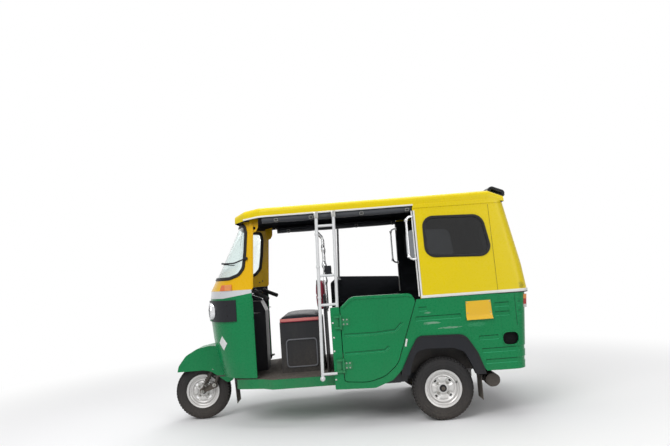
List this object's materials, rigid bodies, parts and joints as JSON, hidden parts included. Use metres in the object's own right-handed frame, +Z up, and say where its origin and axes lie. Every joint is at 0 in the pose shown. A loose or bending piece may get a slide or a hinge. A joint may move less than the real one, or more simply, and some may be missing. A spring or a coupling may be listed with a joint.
{
  "type": "auto rickshaw",
  "caption": "Three-wheeled passenger taxi with a steered front wheel, curved nose, open driver's cab, half door, fixed roof, rolled curtains and a closed rear quarter.",
  "frame": {"origin": "on the ground, at the bottom centre of the vehicle's box", "axes": "+X towards the rear, +Y towards the vehicle's right side, +Z up"},
  "size_m": [2.974, 1.3693, 1.802],
  "materials": {
    "yellow_paint": "gloss",
    "cowl_paint": "gloss",
    "green_paint": "gloss",
    "silver_band": "gloss",
    "floor_paint": "satin",
    "black_plastic": "satin",
    "frame_paint": "satin",
    "lamp_glass": "clear",
    "indicator_glass": "clear",
    "tail_glass": "clear",
    "window_glass": "clear",
    "tyre_rubber": "matte",
    "rim_silver": "satin",
    "white_tube": "gloss",
    "bright_tube": "polished",
    "hinge_green": "gloss",
    "seat_cloth": "grained",
    "red_cloth": "grained",
    "curtain_cloth": "coated",
    "engine_metal": "cast",
    "exhaust_metal": "worn",
    "flap_rubber": "matte"
  },
  "bodies": {
    "body": {"roof_panel": "yellow_paint", "quarter_upper_left": "yellow_paint", "quarter_upper_right": "yellow_paint", "rear_panel_upper": "yellow_paint", "front_cowl": "cowl_paint", "front_shield": "green_paint", "side_panel_left": "green_paint", "side_panel_right": "green_paint", "rear_panel_lower": "green_paint", "nose_band": "silver_band", "floor_pan": "floor_paint", "rear_wheelhouses": "floor_paint", "front_wheelhouse": "floor_paint", "driver_seat_base": "floor_paint", "bench_base": "floor_paint", "partition_panel": "floor_paint", "rear_bulkhead": "floor_paint", "wheel_arch_flares": "black_plastic", "headlamp_housings": "black_plastic", "column_cover": "black_plastic", "dash_shelf": "black_plastic", "chassis_frame": "frame_paint", "rear_suspension": "frame_paint", "headlamp_lenses": "lamp_glass", "indicator_lamps": "indicator_glass", "tail_lamps": "tail_glass", "windscreen": "window_glass", "side_windows": "window_glass", "rear_window": "window_glass", "guard_ladder": "white_tube", "grab_handles": "bright_tube", "partition_bars": "bright_tube", "door_hinge_pins": "hinge_green", "driver_cushion": "seat_cloth", "bench_cushion": "seat_cloth", "bench_backrest": "seat_cloth", "driver_backrest": "red_cloth", "side_curtain_rolls": "curtain_cloth", "rear_curtain_roll": "curtain_cloth", "engine_block": "engine_metal", "exhaust": "exhaust_metal", "rear_mud_flaps": "flap_rubber"},
    "steering": {"steering_fork": "frame_paint", "front_links": "frame_paint", "front_dampers": "frame_paint", "front_fender": "green_paint", "handlebar": "black_plastic", "front_mud_flap": "flap_rubber"},
    "front_wheel": {"tyre_front": "tyre_rubber", "rim_front": "rim_silver"},
    "rear_wheel_left": {"tyre_rear_left": "tyre_rubber", "rim_rear_left": "rim_silver"},
    "rear_wheel_right": {"tyre_rear_right": "tyre_rubber", "rim_rear_right": "rim_silver"},
    "door_left": {"door_panel": "green_paint", "door_hinges": "hinge_green"},
    "rear_lid": {"engine_lid": "green_paint"}
  },
  "joints": [
    {"name": "steering_turn", "type": "hinge", "parent": "body", "child": "steering", "pos_m": [-1.112, 0, 0.4], "axis": [0.4067, 0, 0.9135], "range_deg": [-35, 35]},
    {"name": "front_wheel_spin", "type": "hinge", "parent": "steering", "child": "front_wheel", "pos_m": [-1.25, 0, 0.238], "axis": [0, 1, 0], "continuous": true},
    {"name": "rear_left_spin", "type": "hinge", "parent": "body", "child": "rear_wheel_left", "pos_m": [0.75, -0.59, 0.238], "axis": [0, 1, 0], "continuous": true},
    {"name": "rear_right_spin", "type": "hinge", "parent": "body", "child": "rear_wheel_right", "pos_m": [0.75, 0.59, 0.238], "axis": [0, 1, 0], "continuous": true},
    {"name": "door_swing", "type": "hinge", "parent": "body", "child": "door_left", "pos_m": [-0.003, -0.683, 0.64], "axis": [0, 0, -1], "range_deg": [0, 75]},
    {"name": "lid_lift", "type": "hinge", "parent": "body", "child": "rear_lid", "pos_m": [1.46257, 0, 0.823], "axis": [0, -1, 0], "range_deg": [0, 80]}
  ]
}
